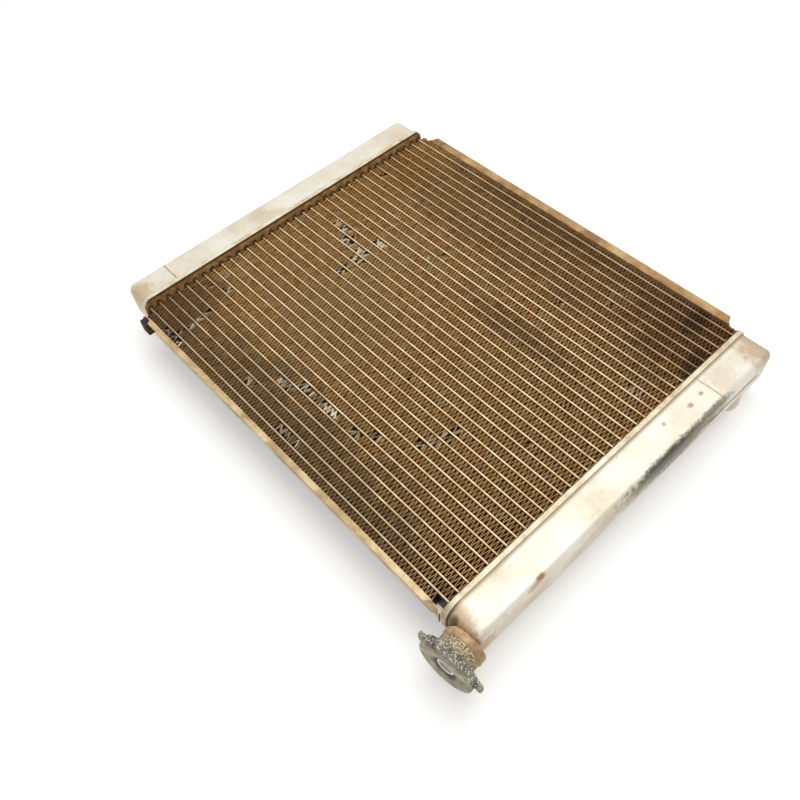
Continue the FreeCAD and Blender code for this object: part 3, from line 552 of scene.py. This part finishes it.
def fin_strip(x_range, y_range, z_range, space):
    """Vertices, faces and bareness of one strip that touches a tube at each crest."""
    rng = np.random.default_rng(space + 1)
    folds = round((x_range[1] - x_range[0]) / FIN_HALF_PITCH)
    step = (x_range[1] - x_range[0]) / folds
    index = np.arange(folds + 1)
    up = np.where(index % 2, 1.0, -1.0)
    crest_x = x_range[0] + index * step + rng.normal(0, CREST_SCATTER, folds + 1) * step
    crest_y = np.where(index % 2, y_range[1], y_range[0]) - up * rng.uniform(*CREST_GAP, folds + 1) * MM
    crest_y -= up * FIN_FOIL / 2
    x = np.stack([crest_x - CREST_SHARE * step, crest_x, crest_x + CREST_SHARE * step], 1).ravel()
    y = np.stack([crest_y - up * FIN_CREST, crest_y, crest_y - up * FIN_CREST], 1).ravel()
    along = np.stack([np.gradient(x), np.gradient(y)], 1)
    along /= np.linalg.norm(along, axis=1)[:, None]
    side = np.stack([-along[:, 1], along[:, 0]], 1) * FIN_FOIL / 2
    push, bright = damage_in(space, x)
    lean = push * np.repeat(rng.uniform(*LEAN_ALONG, folds + 1), 3)
    middle = (y_range[0] + y_range[1]) / 2
    shrink = np.abs(lean) * np.repeat(rng.uniform(*LEAN_IN, folds + 1), 3) * np.sign(middle - y)
    bared = np.repeat(rng.uniform(0, 1, folds + 1) > UNBARED_SHARE, 3)
    bared = bright * np.clip(push / BARED_PUSH, 0, 1) * bared
    drop = np.repeat(rng.uniform(0.0, FRONT_DROP, folds + 1), 3) * MM + np.abs(lean) * SUNK_PER_LEAN
    levels = [(z_range[1] - drop, 1.0), (np.full_like(drop, z_range[1] - BENT_DEPTH), 0.0),
              (np.full_like(drop, z_range[0]), 0.0)]
    rings = []
    for z, share in levels:
        for sign in (1, -1):
            rings.append(np.stack([x + side[:, 0] * sign + lean * share,
                                   y + side[:, 1] * sign + shrink * share, z], 1))
    count = len(x)
    first = np.arange(count - 1)
    faces = []
    # Ring order: front left, front right, middle left, middle right, rear left, rear right
    for a, b in ((0, 1), (1, 3), (3, 5), (5, 4), (4, 2), (2, 0)):
        faces.append(np.stack([a * count + first, a * count + first + 1,
                               b * count + first + 1, b * count + first], 1))
    bare = np.concatenate([bared, bared, np.zeros(4 * count)])
    return np.concatenate(rings), np.concatenate(faces), bare


def fin_spaces():
    """The x range and y range of each fin space, from the near side plate to the far one."""
    low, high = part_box("fin_rows_2")
    edges = [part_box("near_side_plate")[1].y]
    for name in TUBES:
        tube_low, tube_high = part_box(name)
        edges += [tube_low.y, tube_high.y]
    edges.append(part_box("far_side_plate")[0].y)
    spaces = [((low.x, high.x), (edges[i], edges[i + 1])) for i in range(0, len(edges), 2)]
    spaces[0] = ((low.x + TORN_LEFT, high.x - TORN_RIGHT), spaces[0][1])
    return spaces


def build_fins():
    """One piece of folded foil for each group of fins in the part."""
    spaces = fin_spaces()
    share = math.ceil(len(spaces) / len(FIN_GROUPS))
    for group, name in enumerate(FIN_GROUPS):
        low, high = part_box(name)
        vertices, faces, bare, offset = [], [], [], 0
        for space in range(group * share, min((group + 1) * share, len(spaces))):
            x_range, y_range = spaces[space]
            points, quads, bared = fin_strip(x_range, y_range, (low.z, high.z), space)
            vertices.append(points)
            faces.append(quads + offset)
            bare.append(bared)
            offset += len(points)
        piece = new_piece("folded_" + name, np.concatenate(vertices).tolist(),
                          np.concatenate(faces).tolist(), fin_foil)
        mark = piece.data.attributes.new("bared", "FLOAT", "POINT")
        mark.data.foreach_set("value", np.concatenate(bare).astype(np.float32))
        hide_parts(name)


build_fins()


# Tanks: pressed shells with soft edges, a joggle and the small hollows of hand work

TANK_EDGE = 5.5 * MM
STUB_BORE = 10.0 * MM
STUB_DRILL_DEPTH = 40 * MM
NECK_MOUTH = 7.0 * MM
NECK_DRILL_DEPTH = 30 * MM
TANK_NEAR_RADIUS = {"right_tank": 14.0 * MM, "left_tank": 7.4 * MM}
TANK_FAR_RADIUS = 7.4 * MM
# The joggle: its depth, how far above the foot it starts and the length that it takes to deepen
JOGGLE = 0.4 * MM
JOGGLE_FOOT = 4.0 * MM
JOGGLE_RAMP = 1.5 * MM
JOGGLE_LENGTH = 0.4 * MM
JOGGLE_ROWS = (-0.6, -0.2, 0.2, 0.6)
ROW_GAP = 3.2 * MM
# The filler end swells out past the header's rim a few millimetres above the foot
SWELL_FOOT = 4.6 * MM
SWELL_RAMP = 3.0 * MM
# Hollows of hand work: their depth, and the sizes of the wide and the small ones
HOLLOW_DEPTH = 0.5 * MM
WIDE_HOLLOW = 42 * MM
SMALL_HOLLOW = 17 * MM
HOLLOW_FOOT = 5.5 * MM
TANK_SHARP_DEG = 42


def rounded_outline(y, z, near, far, stations):
    """Rows round a rectangle with rounded corners: kind, place, direction out, radius, corner, signs."""
    rows = []
    corners = [((y[1], z[1]), (-1, -1), far, 0), ((y[0], z[1]), (1, -1), near, 90),
               ((y[0], z[0]), (1, 1), near, 180), ((y[1], z[0]), (-1, 1), far, 270)]
    for index, ((cy, cz), (sy, sz), radius, start) in enumerate(corners):
        centre = (cy + sy * radius, cz + sz * radius)
        for angle in np.linspace(start, start + 90, 11):
            turn = (math.cos(math.radians(angle)), math.sin(math.radians(angle)))
            rows.append(("arc", centre, turn, radius, (cy, cz), (sy, sz)))
        # The long runs take a row at each station; the short runs take a few even ones
        if index == 0:
            rows += [("run", (s, z[1]), (0, 1), 0, None, None) for s in sorted(stations, reverse=True)
                     if y[0] + near < s < y[1] - far]
        elif index == 2:
            rows += [("run", (s, z[0]), (0, -1), 0, None, None) for s in sorted(stations)
                     if y[0] + near < s < y[1] - far]
        else:
            edge, out = (y[0], -1) if index == 1 else (y[1], 1)
            reach = (z[1] - near, z[0] + near) if index == 1 else (z[0] + far, z[1] - far)
            rows += [("run", (edge, s), (out, 0), 0, None, None) for s in np.linspace(*reach, 7)[1:-1]]
    return rows


def inset_point(row, inset, y, z):
    """Where a row of an outline comes to lie when the outline shrinks by inset."""
    kind, place, out, radius, corner, signs = row
    if kind == "arc":
        if inset < radius:
            return place[0] + out[0] * (radius - inset), place[1] + out[1] * (radius - inset)
        return corner[0] + signs[0] * inset, corner[1] + signs[1] * inset
    py = min(max(place[0] - out[0] * inset, y[0] + inset), y[1] - inset)
    pz = min(max(place[1] - out[1] * inset, z[0] + inset), z[1] - inset)
    return py, pz


def pressed_tank(name, side, near_radius, far_radius, joggle_y, deep_end, swell):
    """One tank as a closed shell of quads from its foot to its outer wall."""
    low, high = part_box(name)
    face = high.x if side > 0 else low.x
    foot = low.x if side > 0 else high.x
    z = (low.z, high.z)
    stations = [s for s in np.arange(low.y, high.y, ROW_GAP) if abs(s - joggle_y) > 1.2 * MM]
    stations += [joggle_y + s * MM for s in JOGGLE_ROWS]
    depth = abs(face - foot)
    levels = [(at * MM, 0.0) for at in (0.0, 3.2, 5.6, 8.0)]
    levels += [(at, 0.0) for at in np.linspace(11 * MM, depth - TANK_EDGE, 6)]
    for angle in np.linspace(0, 90, 9)[1:]:
        turn = math.radians(angle)
        levels.append((depth - TANK_EDGE + TANK_EDGE * math.sin(turn), TANK_EDGE * (1 - math.cos(turn))))
    half = (z[1] - z[0]) / 2
    levels += [(depth, inset) for inset in np.linspace(TANK_EDGE, half, 7)[1:]]
    rings = []
    for at, inset in levels:
        rise = min(max((at - SWELL_FOOT) / SWELL_RAMP, 0), 1)
        grown = swell * (1 - (1 - rise) ** 2)
        y = (low.y + swell - grown, high.y)
        ring = []
        for row in rounded_outline(y, z, near_radius, far_radius, stations):
            py, pz = inset_point(row, inset, y, z)
            sunk = JOGGLE * min(max((at - JOGGLE_FOOT) / JOGGLE_RAMP, 0), 1)
            past = min(max(((joggle_y - py) * deep_end) / JOGGLE_LENGTH + 0.5, 0), 1)
            limit = half - sunk * past
            pz = min(max(pz, z[0] + half - limit), z[0] + half + limit)
            ring.append(Vector((foot + side * at, py, pz)))
        rings.append(ring)
    count = len(rings[0])
    shell = bmesh.new()
    made = [shell.verts.new(point) for ring in rings for point in ring]
    shell.faces.new(made[:count])
    for level in range(len(rings) - 1):
        for i in range(count):
            j = (i + 1) % count
            shell.faces.new([made[k] for k in (level * count + j, level * count + i,
                                               (level + 1) * count + i, (level + 1) * count + j)])
    bmesh.ops.remove_doubles(shell, verts=shell.verts, dist=0.02 * MM)
    bmesh.ops.dissolve_degenerate(shell, dist=0.01 * MM, edges=shell.edges)
    bmesh.ops.recalc_face_normals(shell, faces=shell.faces)
    shell.normal_update()
    for vertex in shell.verts:
        if abs(vertex.co.x - foot) > HOLLOW_FOOT:
            wide = noise.noise(vertex.co / WIDE_HOLLOW) + 0.4 * noise.noise(vertex.co / SMALL_HOLLOW)
            vertex.co -= vertex.normal * HOLLOW_DEPTH * max(0.0, 0.55 + 0.6 * wide)
    piece = new_piece("pressed_" + name, [], [], tank_sheet)
    shell.to_mesh(piece.data)
    shell.free()
    return piece


def drill(piece, place, axis, radius, depth):
    """Sinks a round hole into a closed piece, half its depth to each side of a place."""
    tool = bmesh.new()
    bmesh.ops.create_cone(tool, cap_ends=True, segments=48, radius1=radius, radius2=radius, depth=depth)
    drill_mesh = bpy.data.meshes.new("drill")
    tool.to_mesh(drill_mesh)
    tool.free()
    holder = bpy.data.objects.new("drill", drill_mesh)
    holder.location = place
    holder.rotation_euler = axis.to_track_quat("Z", "Y").to_euler()
    bpy.context.scene.collection.objects.link(holder)
    cut = piece.modifiers.new("bore", "BOOLEAN")
    cut.object = holder
    cut.solver = "EXACT"
    settled(piece)
    bpy.data.objects.remove(holder)


def build_tanks():
    """The two tanks, each open into its hose stub, and the filler end open into the neck."""
    for name, stub, side, joggle_y, deep_end, swell in (
        ("right_tank", "outlet_stub", 1, core(0, 101.9).y, 1, 2.5 * MM),
        ("left_tank", "inlet_stub", -1, core(0, -130.9).y, -1, 0.0),
    ):
        piece = pressed_tank(name, side, TANK_NEAR_RADIUS[name], TANK_FAR_RADIUS, joggle_y, deep_end, swell)
        low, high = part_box(stub)
        mouth = Vector(((low.x + high.x) / 2, (low.y + high.y) / 2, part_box(name)[0].z))
        drill(piece, mouth, Vector((0, 0, 1)), STUB_BORE, STUB_DRILL_DEPTH)
        if name == "right_tank":
            drill(piece, NECK_FOOT, NECK_AXIS, NECK_MOUTH, NECK_DRILL_DEPTH)
        piece.data.shade_smooth()
        piece.data.set_sharp_from_angle(angle=math.radians(TANK_SHARP_DEG))
        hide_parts(name)


build_tanks()


# Cap and filler neck: the turned and pressed shapes with their corrosion crust

# In mm from the neck's foot, and in mm from its axis
NECK_CRUST = (4.0, 11.5)
EARS_FROM = 23.3
SKIRT_FROM = 21


def crusted(name, source, body, voxel_mm, crust):
    """A finely meshed copy of a solid, with its surface moved by crust(place) along its normals, in mm."""
    mesh = nodes[source].data.copy()
    mesh.name = name
    piece = bpy.data.objects.new(name, mesh)
    piece.matrix_world = nodes[source].matrix_world.copy()
    bpy.context.scene.collection.objects.link(piece)
    remesh = piece.modifiers.new("even", "REMESH")
    remesh.mode = "VOXEL"
    remesh.voxel_size = voxel_mm * MM
    settled(piece)
    mesh = piece.data
    moves = [vertex.normal * crust(piece.matrix_world @ vertex.co) * MM for vertex in mesh.vertices]
    for vertex, move in zip(mesh.vertices, moves):
        vertex.co += move
    mesh.shade_smooth()
    mesh.materials.clear()
    mesh.materials.append(FINISHES[source])
    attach(piece, body)
    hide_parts(source)


def neck_place(place):
    """Height above the neck's foot and distance from its axis, in mm."""
    off = place - NECK_FOOT
    level = off.dot(NECK_AXIS)
    return level / MM, (off - NECK_AXIS * level).length / MM


def neck_crust(place):
    """Pits in the band between the neck's two smooth rings."""
    level, radius = neck_place(place)
    if not NECK_CRUST[0] < level < NECK_CRUST[1] or radius < NECK_RADIUS - 1:
        return -0.1 * abs(noise.noise(place / (6 * MM)))
    grit = noise.noise(place / (1.3 * MM)) + 0.5 * noise.noise(place / (0.7 * MM))
    return -0.55 * max(0.0, grit)


def cap_crust(place):
    """Lumps of salt on the cap's ears and skirt, and a face that is only worn."""
    level, radius = neck_place(place)
    if radius > EARS_FROM:
        lumps = noise.noise(place / (3.5 * MM)) + 0.6 * noise.noise(place / (1.4 * MM))
        return 0.5 * lumps - 0.35
    if level > CAP_FACE - 2.0 or radius < SKIRT_FROM:
        return -0.08 * abs(noise.noise(place / (5 * MM)))
    lumps = noise.noise(place / (2.4 * MM)) + 0.6 * noise.noise(place / (1.1 * MM))
    return 0.3 * lumps - 0.35


crusted("pitted_filler_neck", "filler_neck", "radiator", 0.45, neck_crust)
crusted("crusted_cap", "cap_shell", "cap", 0.42, cap_crust)


# Pressure spring: a plain copy that rides on the cap


def build_pressure_spring():
    """A copy of the spring that rides on the cap."""
    source = nodes["cap_pressure_spring"]
    piece = bpy.data.objects.new("coiled_pressure_spring", source.data.copy())
    piece.matrix_world = source.matrix_world.copy()
    bpy.context.scene.collection.objects.link(piece)
    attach(piece, "cap")
    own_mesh(piece)
    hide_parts("cap_pressure_spring")


build_pressure_spring()


# Headers: a raised collar round the mouth of every tube

# A collar's section: how far out from the tube and how tall, in mm
COLLAR_SECTION = [(0.05, 1.3), (0.45, 1.25), (0.85, 0.7), (1.05, 0.0)]
COLLAR_STEPS = 24
COLLAR_SHARP_DEG = 60


def build_collars():
    """Rolled collars that stand from the header's face round each tube."""
    steps = COLLAR_STEPS
    rows = len(COLLAR_SECTION)
    for header, side in (("left_header", -1), ("right_header", 1)):
        low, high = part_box(header)
        face = high.x if side < 0 else low.x
        vertices, faces = [], []
        for name in TUBES:
            tube_low, tube_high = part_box(name)
            radius = (tube_high.y - tube_low.y) / 2
            middle = (tube_low.y + tube_high.y) / 2
            start = len(vertices)
            for i in range(steps):
                turn = 2 * math.pi * (i + 0.5) / steps
                out = (math.cos(turn), math.sin(turn))
                centre_z = tube_high.z - radius if out[1] >= 0 else tube_low.z + radius
                for wide, tall in COLLAR_SECTION:
                    reach = radius + wide * MM
                    vertices.append((face - side * tall * MM,
                                     middle + out[0] * reach, centre_z + out[1] * reach))
            for i in range(steps):
                for row in range(rows - 1):
                    a = start + i * rows + row
                    b = start + ((i + 1) % steps) * rows + row
                    faces.append((a, b, b + 1, a + 1) if side < 0 else (a, a + 1, b + 1, b))
        new_piece("tube_collars_" + header.split("_")[0], vertices, faces, header_sheet,
                  COLLAR_SHARP_DEG)


build_collars()


# Camera, light and floor

CAMERA_PLACE = (0.32433, -0.29543, 0.56673)
CAMERA_TURN_DEG = (35.382, 3.241, 47.343)
CAMERA_LENS = 35.46
# Lamp, place in metres, size in metres, power in watts
LAMPS = [
    ("sky_panel", (-0.1, 0.25, 1.5), 1.2, 11.5),
    ("side_panel", (0.9, -0.8, 0.9), 0.8, 1.3),
]
WORLD_LIGHT = 0.5
FLOOR_GLOW = 0.3
FLOOR_REACH = 6.0


def seen_straight(tree):
    """1 where the camera, a reflection or a clear surface shows the background, and otherwise 0."""
    rays = add(tree, "LightPath").outputs
    seen = add(tree, "Math", {0: rays["Is Camera Ray"], 1: rays["Is Glossy Ray"]}, operation="MAXIMUM")
    return add(tree, "Math", {0: seen, 1: rays["Is Transmission Ray"]}, operation="MAXIMUM")


def build_stage():
    """A camera at the photograph's angle, two soft lamps, a white world and a white paper floor."""
    camera = bpy.data.objects.new("camera", bpy.data.cameras.new("camera"))
    camera.location = CAMERA_PLACE
    camera.rotation_euler = [math.radians(turn) for turn in CAMERA_TURN_DEG]
    camera.data.lens = CAMERA_LENS
    camera.data.sensor_width = 36.0
    camera.data.clip_start = 0.01
    bpy.context.scene.collection.objects.link(camera)
    bpy.context.scene.camera = camera

    for name, place, size, power in LAMPS:
        lamp = bpy.data.lights.new(name, "AREA")
        lamp.size = size
        lamp.energy = power
        holder = bpy.data.objects.new(name, lamp)
        holder.location = place
        holder.rotation_euler = (Vector((0, 0, 0)) - Vector(place)).to_track_quat("-Z", "Y").to_euler()
        bpy.context.scene.collection.objects.link(holder)

    world = bpy.data.worlds.new("studio")
    world.use_nodes = True
    tree = world.node_tree
    strength = add(tree, "MapRange", {"Value": seen_straight(tree), "To Min": WORLD_LIGHT, "To Max": 1.0})
    back = tree.nodes["Background"]
    back.inputs["Color"].default_value = (1, 1, 1, 1)
    tree.links.new(strength.outputs[0], back.inputs["Strength"])
    bpy.context.scene.world = world
    bpy.context.scene.view_settings.view_transform = "Standard"

    paper = bpy.data.materials.new("white_paper")
    paper.use_nodes = True
    tree = paper.node_tree
    shader = tree.nodes["Principled BSDF"]
    shader.inputs["Base Color"].default_value = linear("#f4f4f2")
    shader.inputs["Roughness"].default_value = 0.9
    shader.inputs["Specular IOR Level"].default_value = 0.1
    glow = add(tree, "Math", {0: seen_straight(tree), 1: FLOOR_GLOW}, operation="MULTIPLY")
    both = add(tree, "AddShader", {0: shader, 1: add(tree, "Emission", {"Strength": glow})})
    tree.links.new(both.outputs[0], tree.nodes["Material Output"].inputs["Surface"])
    mesh = bpy.data.meshes.new("floor")
    corners = [(x * FLOOR_REACH, y * FLOOR_REACH, 0) for x, y in ((-1, -1), (1, -1), (1, 1), (-1, 1))]
    mesh.from_pydata(corners, [], [(0, 1, 2, 3)])
    mesh.materials.append(paper)
    floor = bpy.data.objects.new("floor", mesh)
    bpy.context.scene.collection.objects.link(floor)


build_stage()
